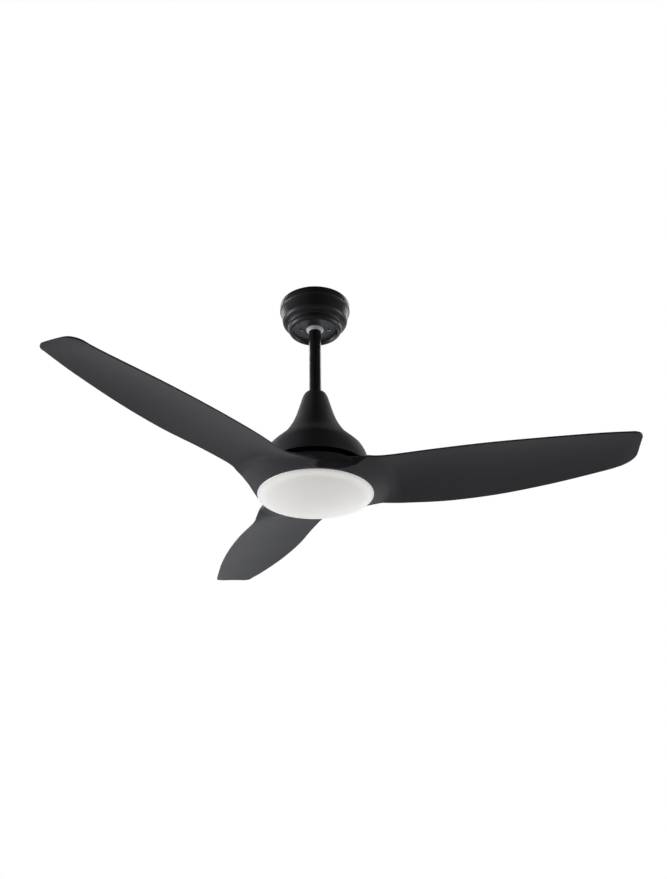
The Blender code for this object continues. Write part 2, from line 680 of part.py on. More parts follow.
def blades():
    for blade in range(BLADES):
        obj = finish_mesh(f"blade_{blade + 1}", blade_mesh(), "blade_plastic")
        angle = math.radians(FIRST_BLADE_DEG) + blade * SPIN_STEP
        # The outline is drawn as seen from below, so it is turned over about X first.
        obj.data.transform(Matrix.Rotation(angle, 4, "Z") @ Matrix.Diagonal((1, -1, 1, 1)))
        obj.data.flip_normals()
        for number, offset in enumerate(SCREW_SPREAD_DEG, start=1):
            x, y = polar(BLADE_SCREW_R, angle - math.radians(offset))
            name = f"blade_{blade + 1}_screw_{number}"
            cut(obj, rod_between(name + "_hole", (x, y, -0.452), (x, y, -0.422), 0.0024, "steel", 8))
            foot = (x, y, HUB_PLATE_LOW_Z - GAP)
            pan_head_screw(name, foot, (0, 0, 1), 0.0042, 0.0020, 0.0072)


# ---------------------------------------------------------------- light

def light_pan():
    """The dark dish under the hub that carries the light."""
    wall = 0.0012
    bore = SHAFT_R + GAP
    outer = [(bore, PAN_TOP_Z), (0.1030, PAN_TOP_Z), (0.1068, -0.4485), (0.1110, -0.4670)]
    outer += [(0.1150, -0.4688), (0.1150, -0.4688 - wall)]
    inner = [(0.1100, -0.4688 - wall), (0.1055, -0.4490), (0.1022, PAN_TOP_Z - wall)]
    inner += [(bore, PAN_TOP_Z - wall)]
    turned("light_pan", outer + inner, "black_metal")
    nut = [polar(0.0170, k * math.tau / 6) for k in range(6)]
    nut_top = PAN_TOP_Z - wall - GAP
    obj = prism("pan_nut", nut, nut_top - 0.007, nut_top, "steel")
    cut(obj, rod_between("nut_bore", (0, 0, -0.462), (0, 0, -0.432), bore, "steel", MEDIUM))


def light_engine():
    turned(
        "led_board",
        [(0.0180, LED_Z), (0.0880, LED_Z), (0.0880, LED_Z + 0.0014), (0.0180, LED_Z + 0.0014)],
        "white_board", MEDIUM,
    )
    block("led_driver", (0.030, -0.018, -0.4600), (0.078, 0.018, -0.4471), "nylon")
    for number in range(3):
        angle = math.radians(60) + number * SPIN_STEP
        x, y = polar(0.080, angle)
        obj = rod_between(
            f"led_standoff_{number + 1}", (x, y, LED_Z + 0.0017), (x, y, -0.4470), 0.0032, "steel", 8
        )
        obj.data.shade_flat()


CATCH_DEG = 90
LUG_HALF_DEG = 6


def wedge(name, inner_r, outer_r, middle_deg, half_deg, low, high, finish):
    """A short curved block on a circle about Z."""
    angles = [math.radians(middle_deg + half_deg * k) for k in (-1, 0, 1)]
    outline = [polar(outer_r, a) for a in angles] + [polar(inner_r, a) for a in reversed(angles)]
    return prism(name, outline, low, high, finish)


DOME_R = 0.1185
DOME_SAG = 0.0245
DOME_WALL = 0.0022
DOME_TOP_Z = -0.4737
NECK_R = (0.1012, 0.1035)
NECK_TOP_Z = -0.4635
NECK_LOW_Z = -0.4733
LUG_R = (0.1022, 0.1062)
LUG_Z = (-0.4655, -0.4638)
CATCH_R = (0.1042, 0.1082)
CATCH_Z = (-0.4682, -0.4661)


def diffuser():
    """The opal dome, with a thin rim and a shallow bowl, and the neck ring behind it, whose
    three lugs turn over the catches on the pan."""
    sphere = (DOME_R ** 2 + DOME_SAG ** 2) / (2 * DOME_SAG)
    middle = DIFFUSER_RIM_Z - 0.0012 + math.sqrt(sphere ** 2 - DOME_R ** 2)
    edge_deg = -math.degrees(math.acos(DOME_R / sphere))
    bowl = arc((0, middle), (sphere, sphere), edge_deg, -90, 7)
    outline = [(NECK_R[0], DOME_TOP_Z), (0.1190, DOME_TOP_Z)]
    outline += [(DIFFUSER_R, -0.4744), (DIFFUSER_R, -0.4754)] + bowl
    inner = [(r * 0.975, z + DOME_WALL) for r, z in bowl[::-1]]
    inner[-1] = (NECK_R[0], -0.4758)
    turned("diffuser", outline + inner, "opal")
    neck = [(r, z) for z in (NECK_LOW_Z, NECK_TOP_Z) for r in NECK_R]
    ring = turned("diffuser_neck", [neck[0], neck[1], neck[3], neck[2]], "opal")
    for number in range(3):
        middle_deg = CATCH_DEG + number * 120
        lug = wedge(f"lug_{number}", *LUG_R, middle_deg, LUG_HALF_DEG, *LUG_Z, "opal")
        join(ring, lug)
        wedge(
            f"diffuser_catch_{number + 1}", *CATCH_R, middle_deg, LUG_HALF_DEG, *CATCH_Z, "steel"
        )


clear_scene()
hanger_bracket()
canopy()
canopy_screws()
terminal_block()
registration_key()
hanger_ball()
downrod()
yoke()
coupling_cover()
motor_housing()
shaft_and_stator()
control_board()
supply_cable()
rotor()
blades()
light_pan()
light_engine()
diffuser()
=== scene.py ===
"""Looks for the ceiling fan with light: fine surfaces, materials, light and camera."""

import json
import math

import bmesh
import bpy
from mathutils import Matrix, Vector


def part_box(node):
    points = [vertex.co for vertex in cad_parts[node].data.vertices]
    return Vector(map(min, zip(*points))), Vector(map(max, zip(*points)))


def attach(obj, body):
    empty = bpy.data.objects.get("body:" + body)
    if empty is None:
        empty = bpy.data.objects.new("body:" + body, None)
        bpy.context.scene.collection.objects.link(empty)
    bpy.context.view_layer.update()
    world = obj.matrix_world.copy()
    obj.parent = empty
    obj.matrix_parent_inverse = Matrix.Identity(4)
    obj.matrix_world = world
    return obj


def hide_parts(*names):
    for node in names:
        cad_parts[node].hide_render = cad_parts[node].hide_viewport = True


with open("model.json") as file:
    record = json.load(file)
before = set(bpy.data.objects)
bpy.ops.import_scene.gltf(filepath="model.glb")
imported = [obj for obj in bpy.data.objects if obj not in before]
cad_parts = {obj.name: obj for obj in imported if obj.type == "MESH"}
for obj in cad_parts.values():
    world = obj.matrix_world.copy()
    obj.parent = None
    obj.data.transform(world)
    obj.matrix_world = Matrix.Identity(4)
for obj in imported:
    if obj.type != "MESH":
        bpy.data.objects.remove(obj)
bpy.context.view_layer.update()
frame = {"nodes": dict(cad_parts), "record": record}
NODES = frame["nodes"]

TURN_SIDES = 144          # sides of the large turned pieces
SMALL_SIDES = 40
BLADES = 3
FIRST_BLADE_DEG = -15.53
SPIN_STEP = math.tau / BLADES
GAP = 0.0003

BALL_CENTRE_Z = -0.051
CANOPY_DISC_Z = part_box("canopy_screw_1")[1].z - 0.0085 + GAP
ROD_R = 0.01335
CANOPY_HOLE_R = 0.0205
SEAM_R = 0.0845
SEAM_Z = -0.357
HOUSING_RIM_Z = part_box("motor_housing")[0].z
CONE_TOP_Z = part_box("coupling_cover")[1].z - 0.0035
DIFFUSER_R = 0.120
DIFFUSER_RIM_Z = -0.475
HUB_PLATE_TOP_Z = -0.4335
HUB_PLATE_LOW_Z = -0.4375

FLOOR_SIZE = 80
FLOOR_Z = -2.6
FLOOR_GLOW = 0.62         # what the floor adds for the camera alone

DOME_R = 0.1185
DOME_SAG = 0.0245
DOME_WALL = 0.0022
LUG_R = (0.1022, 0.1062)
LUG_LOW_Z = -0.4655
LUG_HEIGHT = 0.0017
LUG_HALF_DEG = 6
LUG_STEPS = 4
FIRST_LUG_DEG = 90


# ---------------------------------------------------------------- camera and stage

def make_camera():
    """A view from well below the blades, looking up at the fan."""
    up_deg, yaw_deg, roll_deg = 28.42, 0.94, -0.79
    e, psi, rho = (math.radians(d) for d in (up_deg, yaw_deg, roll_deg))
    ahead = Vector((math.sin(psi) * math.cos(e), math.cos(psi) * math.cos(e), math.sin(e)))
    right = ahead.cross(Vector((0, 0, 1))).normalized()
    up = right.cross(ahead)
    rolled_right = math.cos(rho) * right + math.sin(rho) * up
    rolled_up = -math.sin(rho) * right + math.cos(rho) * up
    data = bpy.data.cameras.new("camera")
    data.sensor_width = 36
    data.lens = 41.04
    data.clip_start, data.clip_end = 0.05, 60
    camera = bpy.data.objects.new("camera", data)
    bpy.context.scene.collection.objects.link(camera)
    turn = Matrix((rolled_right, rolled_up, -ahead)).transposed().to_4x4()
    camera.matrix_world = Matrix.Translation((0.0077, -1.8704, -1.3573)) @ turn
    bpy.context.scene.camera = camera


def soft_box(name, place, aim, width, height, power, tint=(1, 1, 1)):
    """A rectangular light that points at aim and stays out of the picture."""
    data = bpy.data.lights.new(name, "AREA")
    data.shape = "RECTANGLE"
    data.size, data.size_y = width, height
    data.energy = power
    data.color = tint
    lamp = bpy.data.objects.new(name, data)
    bpy.context.scene.collection.objects.link(lamp)
    lamp.location = place
    lamp.rotation_euler = (Vector(aim) - Vector(place)).to_track_quat("-Z", "Y").to_euler()
    lamp.visible_camera = False


def make_world():
    """White where the camera looks straight at it; to the pieces it is a soft grey sweep,
    brightest behind the fan and dim on the camera's side."""
    world = bpy.data.worlds.new("studio")
    world.use_nodes = True
    bpy.context.scene.world = world
    tree = world.node_tree
    background = tree.nodes["Background"]
    background.inputs["Color"].default_value = (1, 1, 1, 1)
    coords = tree.nodes.new("ShaderNodeTexCoord")
    split = tree.nodes.new("ShaderNodeSeparateXYZ")
    tree.links.new(coords.outputs["Generated"], split.inputs["Vector"])
    sweep = tree.nodes.new("ShaderNodeMapRange")
    sweep.interpolation_type = "SMOOTHSTEP"
    sweep.inputs["From Min"].default_value = 0.45
    sweep.inputs["To Min"].default_value = 0.05
    sweep.inputs["To Max"].default_value = 1.25
    tree.links.new(split.outputs["Y"], sweep.inputs["Value"])
    path = tree.nodes.new("ShaderNodeLightPath")
    pick = tree.nodes.new("ShaderNodeMix")
    pick.inputs["B"].default_value = 1.0
    tree.links.new(path.outputs["Is Camera Ray"], pick.inputs["Factor"])
    tree.links.new(sweep.outputs["Result"], pick.inputs["A"])
    tree.links.new(pick.outputs["Result"], background.inputs["Strength"])


def floor_paint():
    """Pale matt paint. It looks pale to the camera and stays dim in the fan's own gloss."""
    made = paint("floor_paint", (0.50, 0.50, 0.50), 0.9, 0.0, grain=0)
    tree = made.node_tree
    shader = tree.nodes["Principled BSDF"]
    shader.inputs["Emission Color"].default_value = (1.0, 1.0, 1.0, 1)
    path = node(tree, "ShaderNodeLightPath")
    glow = node(tree, "ShaderNodeMath", operation="MULTIPLY")
    glow.inputs[1].default_value = FLOOR_GLOW
    tree.links.new(path.outputs["Is Camera Ray"], glow.inputs[0])
    tree.links.new(glow.outputs["Value"], shader.inputs["Emission Strength"])
    return made


def make_stage():
    """A pale floor well below the fan, and soft boxes to its sides, behind and above."""
    bpy.context.scene.view_settings.view_transform = "Standard"
    make_world()
    bpy.ops.mesh.primitive_plane_add(size=FLOOR_SIZE, location=(0, 0, FLOOR_Z))
    floor = bpy.context.object
    floor.name = "floor"
    floor.data.materials.append(floor_paint())
    soft_box("left_box", (-2.2, 0.1, -0.55), (0, 0, -0.3), 0.6, 0.9, 34)
    soft_box("right_box", (2.2, 0.2, -0.55), (0, 0, -0.3), 0.6, 0.9, 18)
    soft_box("far_box", (0.75, 3.5, -1.35), (0, 0, -0.5), 1.9, 0.8, 24, (0.95, 0.98, 1.0))
    for side in (-1, 1):
        soft_box("high_box", (side * 1.5, 1.6, 1.5), (0, 0, -0.4), 0.7, 1.2, 14)


# ---------------------------------------------------------------- materials

def node(tree, kind, **values):
    made = tree.nodes.new(kind)
    for key, value in values.items():
        if key in made.inputs:
            made.inputs[key].default_value = value
        else:
            setattr(made, key, value)
    return made


def paint(name, color, roughness, metallic, grain=0.02, grain_scale=900.0, mottle=0.06,
          coat=0.0, specular=0.5):
    """A coated or moulded surface: fine grain in the relief, slow drift in colour and gloss."""
    found = bpy.data.materials.get(name)
    if found:
        return found
    made = bpy.data.materials.new(name)
    made.use_nodes = True
    tree = made.node_tree
    shader = tree.nodes["Principled BSDF"]
    shader.inputs["Metallic"].default_value = metallic
    shader.inputs["Coat Weight"].default_value = coat
    shader.inputs["Coat Roughness"].default_value = 0.25
    shader.inputs["Specular IOR Level"].default_value = specular
    coords = node(tree, "ShaderNodeTexCoord")
    drift = node(tree, "ShaderNodeTexNoise", Scale=14.0, Detail=3.0)
    tree.links.new(coords.outputs["Object"], drift.inputs["Vector"])
    shade = node(tree, "ShaderNodeMapRange")
    shade.inputs["To Min"].default_value = 1 - mottle
    shade.inputs["To Max"].default_value = 1 + mottle
    tree.links.new(drift.outputs["Fac"], shade.inputs["Value"])
    tint = node(tree, "ShaderNodeMix", data_type="RGBA", blend_type="MULTIPLY")
    tint.inputs["Factor"].default_value = 1.0
    tint.inputs["A"].default_value = (*color, 1)
    tree.links.new(shade.outputs["Result"], tint.inputs["B"])
    tree.links.new(tint.outputs["Result"], shader.inputs["Base Color"])
    gloss = node(tree, "ShaderNodeMapRange")
    gloss.inputs["To Min"].default_value = max(0.03, roughness - 0.05)
    gloss.inputs["To Max"].default_value = min(1.0, roughness + 0.05)
    tree.links.new(drift.outputs["Fac"], gloss.inputs["Value"])
    tree.links.new(gloss.outputs["Result"], shader.inputs["Roughness"])
    if grain:
        fine = node(tree, "ShaderNodeTexNoise", Scale=grain_scale, Detail=2.0)
        tree.links.new(coords.outputs["Object"], fine.inputs["Vector"])
        relief = node(tree, "ShaderNodeBump", Strength=grain, Distance=0.0005)
        tree.links.new(fine.outputs["Fac"], relief.inputs["Height"])
        tree.links.new(relief.outputs["Normal"], shader.inputs["Normal"])
    return made


def brushed(name, color, roughness, along=(1.0, 1.0, 40.0), metallic=1.0):
    """Bare or plated metal with fine drawn lines."""
    found = bpy.data.materials.get(name)
    if found:
        return found
    made = bpy.data.materials.new(name)
    made.use_nodes = True
    tree = made.node_tree
    shader = tree.nodes["Principled BSDF"]
    shader.inputs["Metallic"].default_value = metallic
    coords = node(tree, "ShaderNodeTexCoord")
    stretch = node(tree, "ShaderNodeMapping")
    stretch.inputs["Scale"].default_value = along
    tree.links.new(coords.outputs["Object"], stretch.inputs["Vector"])
    lines = node(tree, "ShaderNodeTexNoise", Scale=60.0, Detail=4.0)
    tree.links.new(stretch.outputs["Vector"], lines.inputs["Vector"])
    ramp = node(tree, "ShaderNodeMapRange")
    ramp.inputs["To Min"].default_value = roughness - 0.08
    ramp.inputs["To Max"].default_value = roughness + 0.10
    tree.links.new(lines.outputs["Fac"], ramp.inputs["Value"])
    tree.links.new(ramp.outputs["Result"], shader.inputs["Roughness"])
    tint = node(tree, "ShaderNodeMix", data_type="RGBA", blend_type="MIX")
    tint.inputs["A"].default_value = (*[c * 0.86 for c in color], 1)
    tint.inputs["B"].default_value = (*color, 1)
    tree.links.new(lines.outputs["Fac"], tint.inputs["Factor"])
    tree.links.new(tint.outputs["Result"], shader.inputs["Base Color"])
    return made


def opal():
    """Satin opal plastic: light goes in a little way and comes back soft. A faint warm emission on top
    is painted glow, standing in for light falling on the shade from below.
    """
    made = bpy.data.materials.new("opal_plastic_painted_glow")
    made.use_nodes = True
    tree = made.node_tree
    shader = tree.nodes["Principled BSDF"]
    coords = node(tree, "ShaderNodeTexCoord")
    drift = node(tree, "ShaderNodeTexNoise", Scale=9.0, Detail=2.0)
    tree.links.new(coords.outputs["Object"], drift.inputs["Vector"])
    tint = node(tree, "ShaderNodeMix", data_type="RGBA", blend_type="MIX")
    tint.inputs["A"].default_value = (0.86, 0.86, 0.85, 1)
    tint.inputs["B"].default_value = (0.90, 0.90, 0.89, 1)
    tree.links.new(drift.outputs["Fac"], tint.inputs["Factor"])
    tree.links.new(tint.outputs["Result"], shader.inputs["Base Color"])
    shader.inputs["Roughness"].default_value = 0.55
    shader.inputs["Specular IOR Level"].default_value = 0.3
    shader.inputs["Subsurface Weight"].default_value = 0.35
    shader.inputs["Subsurface Radius"].default_value = (0.012, 0.012, 0.011)
    shader.inputs["Subsurface Scale"].default_value = 1.0
    # Painted glow: this faint warm emission brightens the shade in place of light falling on it from
    # below.
    shader.inputs["Emission Color"].default_value = (1.0, 0.975, 0.950, 1)
    shader.inputs["Emission Strength"].default_value = 0.36
    fine = node(tree, "ShaderNodeTexNoise", Scale=1400.0, Detail=2.0)
    tree.links.new(coords.outputs["Object"], fine.inputs["Vector"])
    relief = node(tree, "ShaderNodeBump", Strength=0.03, Distance=0.0003)
    tree.links.new(fine.outputs["Fac"], relief.inputs["Height"])
    tree.links.new(relief.outputs["Normal"], shader.inputs["Normal"])
    return made


def make_materials():
    return {
        "black_metal": paint("black_metal", (0.007, 0.007, 0.008), 0.22, 0.0, 0.03, 700, coat=0.3),
        "rod_metal": paint("rod_metal", (0.019, 0.016, 0.017), 0.36, 0.0, 0.03, 700, coat=0.2),
        "housing_plastic": paint("housing_plastic", (0.015, 0.0145, 0.016), 0.34, 0.0, 0.05, 1100),
        "blade_plastic": paint("blade_plastic", (0.008, 0.008, 0.0095), 0.28, 0.0, 0.05, 1100),
        "opal_diffuser": opal(),
        "zinc_plate": brushed("zinc_plate", (0.62, 0.64, 0.66), 0.32, (8.0, 1.0, 8.0)),
        "steel": brushed("steel", (0.56, 0.56, 0.57), 0.34, (1.0, 1.0, 30.0)),
        "nickel": brushed("nickel", (0.80, 0.79, 0.77), 0.22, (6.0, 6.0, 1.0)),
        "white_nylon": paint("white_nylon", (0.66, 0.69, 0.72), 0.38, 0.0, 0.04, 600, 0.02),
        "lamination": brushed("lamination", (0.28, 0.28, 0.29), 0.45, (1.0, 1.0, 120.0)),
        "copper_wire": brushed("copper_wire", (0.60, 0.26, 0.10), 0.35, (1.0, 1.0, 50.0)),
        "ferrite": paint("ferrite", (0.05, 0.05, 0.055), 0.62, 0.0, 0.2, 500, 0.15),
        "circuit_board": paint("circuit_board", (0.02, 0.14, 0.05), 0.40, 0.0, 0.1, 300, 0.15),
        "led_panel": paint("led_panel", (0.82, 0.82, 0.79), 0.45, 0.0, 0.04, 500, 0.02),
        "cable_sheath": paint("cable_sheath", (0.60, 0.60, 0.58), 0.50, 0.0, 0.06, 500, 0.03),
    }


# ---------------------------------------------------------------- shape tools

def to_object(name, shape, finish, sharp_deg=32):
    bmesh.ops.recalc_face_normals(shape, faces=shape.faces)
    mesh = bpy.data.meshes.new(name)
    shape.to_mesh(mesh)
    shape.free()
    mesh.shade_smooth()
    mesh.set_sharp_from_angle(angle=math.radians(sharp_deg))
    obj = bpy.data.objects.new(name, mesh)
    bpy.context.scene.collection.objects.link(obj)
    mesh.materials.append(MATERIALS[finish])
    return obj


def turned(name, outline, finish, sides=TURN_SIDES, closed=True, sharp_deg=32):
    """A piece turned about Z from (radius, height) points."""
    shape = bmesh.new()
    points = [shape.verts.new((max(p[0], 0.0), 0, p[1])) for p in outline]
    ends = points[1:] + points[:1] if closed else points[1:]
    edges = [shape.edges.new(pair) for pair in zip(points, ends)]
    bmesh.ops.spin(
        shape, geom=points + edges, axis=(0, 0, 1), cent=(0, 0, 0), steps=sides, angle=math.tau
    )
    bmesh.ops.remove_doubles(shape, verts=shape.verts, dist=1e-6)
    return to_object(name, shape, finish, sharp_deg)


def bevel(obj, width, segments=3, angle_deg=40):
    rounding = obj.modifiers.new("rounding", "BEVEL")
    rounding.width = width
    rounding.segments = segments
    rounding.limit_method = "ANGLE"
    rounding.angle_limit = math.radians(angle_deg)
    rounding.harden_normals = True
    return obj


def arc(centre, radii, start_deg, end_deg, count):
    """Points on an ellipse's arc in the (radius, height) plane."""
    points = []
    for i in range(count + 1):
        angle = math.radians(start_deg + (end_deg - start_deg) * i / count)
        x = centre[0] + radii[0] * math.cos(angle)
        points.append((x, centre[1] + radii[1] * math.sin(angle)))
    return points


def smooth_curve(points, parts):
    """A Catmull-Rom curve through points, with the given number of steps in each span."""
    knots = [Vector(p) for p in points]
    knots = [2 * knots[0] - knots[1], *knots, 2 * knots[-1] - knots[-2]]
    curve = []
    for i in range(1, len(knots) - 2):
        a, b, c, d = knots[i - 1 : i + 3]
        for k in range(parts):
            t = k / parts
            curve.append(
                0.5 * (2 * b + (c - a) * t + (2 * a - 5 * b + 4 * c - d) * t * t
                       + (3 * b - a - 3 * c + d) * t ** 3)
            )
    curve.append(knots[-2])
    return curve


def inset_profile(outline, thickness):
    """The inner side of a thin wall: each point moves square to the outline."""
    points = [Vector(p) for p in outline]
    inner = []
    for i, point in enumerate(points):
        ahead = points[min(i + 1, len(points) - 1)] - points[max(i - 1, 0)]
        side = Vector((ahead.y, -ahead.x)).normalized()
        inner.append(point + side * thickness)
    return inner


def polar(radius, angle):
    return radius * math.cos(angle), radius * math.sin(angle)


def stand_for(piece, body, slot, *nodes):
    """The piece rides on the body in place of the CAD nodes."""
    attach(piece, body)
    if nodes:
        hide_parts(*nodes)
    return piece


# ---------------------------------------------------------------- ceiling end

def canopy():
    wall = 0.0010
    outer = [(0.0778, -0.0004), (0.0785, -0.0008), (0.0788, -0.0018), (0.0788, -0.0140)]
    outer += arc((0.0781, -0.0158), (0.0010, 0.0014), 60, -60, 6)
    outer += [(0.0777, -0.0178), (0.0773, -0.0190), (0.0761, -0.0240)]
    outer += [(0.0751, -0.0290), (0.0743, -0.0340), (0.0738, -0.0370)]
    outer += arc((0.0623, -0.0400), (0.0110, 0.0118), 0, -70, 16)
    outer += arc((0.0644, -0.0534), (0.0012, 0.0008), 100, 180, 4)
    outer += arc((0.0624, -0.0546), (0.0012, 0.0012), 30, -40, 5)
    outer += [(0.0620, -0.0560), (0.0610, -0.0568)]
    outer += arc((0.0514, -0.0610), (0.0086, 0.0100), 12, -90, 16)
    outer += arc((0.0510, -0.0690), (0.0012, 0.0020), -90, -180, 5)
    outer += [(0.0496, -0.0664), (0.0491, CANOPY_DISC_Z - 0.0002), (0.0479, CANOPY_DISC_Z)]
    outer += [(CANOPY_HOLE_R + 0.0015, CANOPY_DISC_Z)]
    outer += arc((CANOPY_HOLE_R + 0.0010, CANOPY_DISC_Z + 0.0005), (0.0010, 0.0005), -90, -180, 4)
    inner = [(0.0776, -0.0004), (0.0776, -0.0165), (0.0756, -0.0200), (0.0729, -0.0370)]
    inner += arc((0.0613, -0.0390), (0.0108, 0.0118), 0, -68, 10)
    inner += [(0.0620, -0.0522), (0.0602, -0.0545)]
    inner += arc((0.0504, -0.0600), (0.0084, 0.0098), 0, -90, 10)
    inner += [(0.0486, -0.0670), (0.0480, CANOPY_DISC_Z + wall), (0.0464, CANOPY_DISC_Z + wall)]
    inner += [(CANOPY_HOLE_R, CANOPY_DISC_Z + wall)]
    cup = turned("canopy_shell", outer + inner[::-1], "black_metal", sharp_deg=50)
    stand_for(cup, "root", "black_metal", "canopy")


def pan_head(name, foot, direction, head_r, shank_r, length, finish, head_h=0.0024):
    """A domed screw with a cross recess, its head on foot and its shank along direction."""
    outline = [(0, -head_h)]
    outline += arc((0, 0), (head_r, head_h), -84, -8, 9)
    outline += [(head_r, -0.0001), (head_r * 0.96, 0), (shank_r, 0)]
    threads = 9
    for turn in range(threads):
        z = length * (0.25 + 0.65 * turn / threads)
        outline += [(shank_r * 0.88, z), (shank_r * 1.02, z + length * 0.035)]
    outline += [(shank_r * 0.8, length * 0.95), (0, length)]
    screw = turned(name, outline, finish, SMALL_SIDES, closed=False, sharp_deg=25)
    arm, deep = head_r * 0.62, head_h * 0.55
    shape = bmesh.new()
    for size in ((arm, head_r * 0.13), (head_r * 0.13, arm)):
        made = bmesh.ops.create_cube(shape, size=1)["verts"]
        bmesh.ops.scale(shape, vec=(size[0] * 2, size[1] * 2, deep * 2), verts=made)
        bmesh.ops.translate(shape, vec=(0, 0, -head_h), verts=made)
    cross = to_object(name + "_cross", shape, finish)
    recess = screw.modifiers.new("recess", "BOOLEAN")
    recess.object = cross
    recess.operation = "DIFFERENCE"
    recess.use_self = True
    apply_modifiers(screw)
    bpy.data.objects.remove(cross)
    turn = Vector((0, 0, 1)).rotation_difference(Vector(direction)).to_matrix().to_4x4()
    screw.data.transform(Matrix.Translation(foot) @ turn)
    return screw


def apply_modifiers(obj):
    """Replaces the object's mesh with its evaluated one."""
    graph = bpy.context.evaluated_depsgraph_get()
    mesh = bpy.data.meshes.new_from_object(obj.evaluated_get(graph))
    obj.modifiers.clear()
    obj.data = mesh
    return obj


def canopy_screws():
    for number, side in enumerate((-1, 1), start=1):
        foot = (side * 0.0305, 0, CANOPY_DISC_Z - GAP)
        name = f"canopy_screw_{number}"
        screw = pan_head(name + "_fine", foot, (0, 0, 1), 0.0034, 0.0017, 0.0085, "nickel")
        stand_for(screw, "root", "steel", name)


def hanger_ball():
    bore = ROD_R + GAP
    radius = 0.024
    top = math.degrees(math.asin(0.0174 / radius))
    low = -math.degrees(math.asin(0.0195 / radius))
    outer = [(bore + 0.0006, BALL_CENTRE_Z + 0.0176)]
    outer += arc((0, BALL_CENTRE_Z), (radius, radius), top, low, 40)
    outer += [(bore + 0.0004, BALL_CENTRE_Z - 0.0197), (bore, BALL_CENTRE_Z - 0.0193)]
    outer += [(bore, BALL_CENTRE_Z + 0.0172)]
    ball = turned("hanger_ball_fine", outer, "white_nylon", 96)
    pin_low_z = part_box("ball_pin")[0].z
    slots = bmesh.new()
    for size, place in (
        ((0.0066, 0.06, 0.03), (0, 0, pin_low_z - GAP + 0.015)),
        ((0.0115, 0.0048, 0.06), (-0.0185 - 0.00575, 0, BALL_CENTRE_Z)),
    ):
        made = bmesh.ops.create_cube(slots, size=1)["verts"]
        bmesh.ops.scale(slots, vec=size, verts=made)
        bmesh.ops.translate(slots, vec=place, verts=made)
    cutter = to_object("ball_slots", slots, "white_nylon")
    cut = ball.modifiers.new("slots", "BOOLEAN")
    cut.object = cutter
    cut.operation = "DIFFERENCE"
    apply_modifiers(ball)
    bpy.data.objects.remove(cutter)
    ball.data.set_sharp_from_angle(angle=math.radians(30))
    stand_for(ball, "hanging", "white_nylon", "hanger_ball")


def downrod():
    low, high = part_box("downrod")
    outline = [(ROD_R - 0.0006, high.z), (ROD_R, high.z - 0.0006), (ROD_R, low.z + 0.0006)]
    outline += [(ROD_R - 0.0006, low.z), (0.0110, low.z), (0.0110, high.z)]
    tube = turned("downrod_tube", outline, "rod_metal", 72)
    stand_for(tube, "hanging", "black_metal", "downrod")


CONE_PROFILE = [
    (0.0238, -0.2355), (0.0278, -0.2440), (0.0320, -0.2583), (0.0369, -0.2751),
    (0.0422, -0.2919), (0.0491, -0.3086), (0.0583, -0.3254), (0.0685, -0.3402),
    (0.0795, -0.3515), (SEAM_R - 0.0004, SEAM_Z + 0.0007),
]
HOUSING_PROFILE = [
    (SEAM_R + 0.0003, SEAM_Z), (0.0925, -0.3646), (0.1008, -0.3743), (0.1066, -0.3857),
    (0.1104, -0.3971), (0.1128, -0.4086), (0.1135, HOUSING_RIM_Z),
]


def coupling_cover():
    wall = 0.0018
    outer = smooth_curve(CONE_PROFILE, 8)
    inner = inset_profile(outer, wall)
    inner = [p for p in inner if p.y > SEAM_Z + 0.0012]
    inner[0] = Vector((0.0218, CONE_TOP_Z - wall))
    inner.append(Vector((outer[-1].x - 1.5 * wall, outer[-1].y)))
    rim = [(ROD_R + 0.0006, CONE_TOP_Z - 0.0004), (ROD_R + 0.0010, CONE_TOP_Z)]
    rim += [(0.0176, CONE_TOP_Z)] + arc((0.0178, CONE_TOP_Z - 0.0048), (0.0058, 0.0048), 86, 22, 8)
    outline = rim + list(outer) + inner[::-1] + [Vector((ROD_R + 0.0006, CONE_TOP_Z - wall))]
    cone = turned("coupling_cover_shell", [tuple(p) for p in outline], "housing_plastic", sharp_deg=50)
    stand_for(cone, "hanging", "housing_plastic", "coupling_cover")


def motor_housing():
    wall = 0.0016
    outer = smooth_curve(HOUSING_PROFILE, 8)
    inner = inset_profile(outer, wall)
    dish = [(0.0265, -0.3435), (0.0560, -0.3435), (0.0780, -0.3570)]
    under = [(r, z - wall) for r, z in dish]
    lip = arc((0.1127, HOUSING_RIM_Z + 0.0008), (0.0008, 0.0008), 0, -180, 6)
    outline = dish + list(outer)[:-1] + lip + inner[-2::-1] + under[::-1]
    bell = turned("motor_housing_shell", [tuple(p) for p in outline], "housing_plastic", sharp_deg=50)
    stand_for(bell, "hanging", "housing_plastic", "motor_housing")


# ---------------------------------------------------------------- blades

SEAM_A_DEG = 37.47
SEAM_B_DEG = SEAM_A_DEG - 360 / BLADES
SEAM_TRIM_DEG = 0.12
SEAM_END = (0.137, -0.458)
LIP_R = 0.1215
LIP_LOW_Z = -0.4725
LIP_HIGH_Z = -0.4580

# The hub's under side, from the bolted plate out to the lip round the light: radius, height.
HUB_UNDER = [
    (0.0600, HUB_PLATE_LOW_Z), (0.1030, HUB_PLATE_LOW_Z), (0.1085, -0.4390),
    (0.1115, -0.4450), (0.1150, -0.4600), (0.1175, -0.4700), (0.1195, -0.4722),
]
# Its upper side as far as the top of the wall, which rises and falls three times round.
HUB_UPPER = [
    (0.0600, HUB_PLATE_TOP_Z), (0.1045, HUB_PLATE_TOP_Z), (0.1085, HUB_PLATE_TOP_Z),
    (0.1140, -0.4310),
]
WALL_ROWS = 12
WALL_SHARES = [0.72 * k / WALL_ROWS for k in range(1, WALL_ROWS + 1)]
BETWEEN_SHARES = (0.25, 0.5, 0.75, 0.9)
WAVE = 0.0065             # how far the top of the wall rises and falls
WAVE_TURN_DEG = 5
ROOT_PASSES = 40
